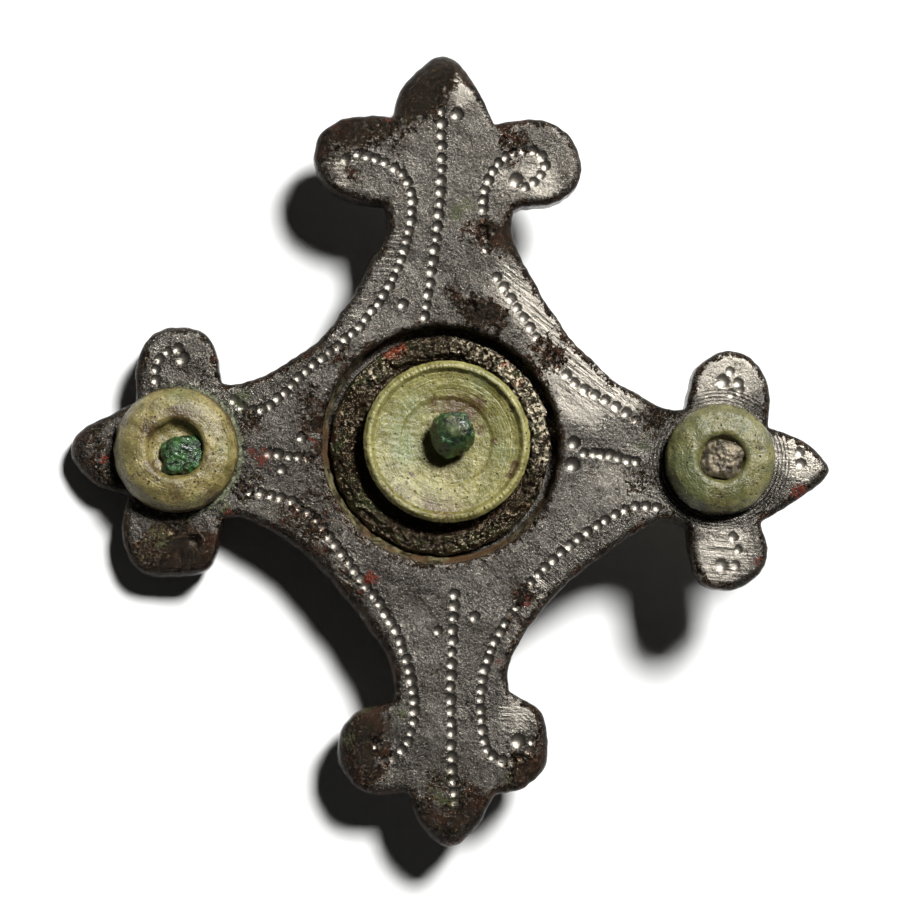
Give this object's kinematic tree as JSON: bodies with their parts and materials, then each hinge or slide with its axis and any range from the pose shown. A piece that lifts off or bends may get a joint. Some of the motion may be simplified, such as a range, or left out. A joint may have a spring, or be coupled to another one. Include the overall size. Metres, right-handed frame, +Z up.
{
  "type": "plate brooch",
  "caption": "Cross-shaped plate brooch with trefoil ends, punched dots, a dished disc in a round recess and a domed button on each side arm, with a hinged pin and catch behind.",
  "frame": {"origin": "on the surface it lies on, under the middle of its box", "axes": "+Z up from the surface, +Y towards the top arm and the hinge, +X towards the right arm, seen from the front"},
  "size_m": [0.0497, 0.0521, 0.0118],
  "materials": {
    "tinned_bronze": "worn tin over dark bronze, scratched",
    "corroded_bronze": "rough corroded crust",
    "green_bronze": "matt green corrosion",
    "brown_bronze": "matt brown patina",
    "pale_bone": "turned bone, stained pale green",
    "yellow_bone": "turned bone, stained ochre",
    "olive_bone": "polished bone, stained olive"
  },
  "bodies": {
    "root": {"plate": "tinned_bronze", "seat_ring": "corroded_bronze", "central_disc": "pale_bone", "central_rivet": "green_bronze", "left_button": "yellow_bone", "left_rivet": "green_bronze", "right_button": "olive_bone", "right_rivet": "brown_bronze", "pin": "brown_bronze"}
  },
  "joints": []
}
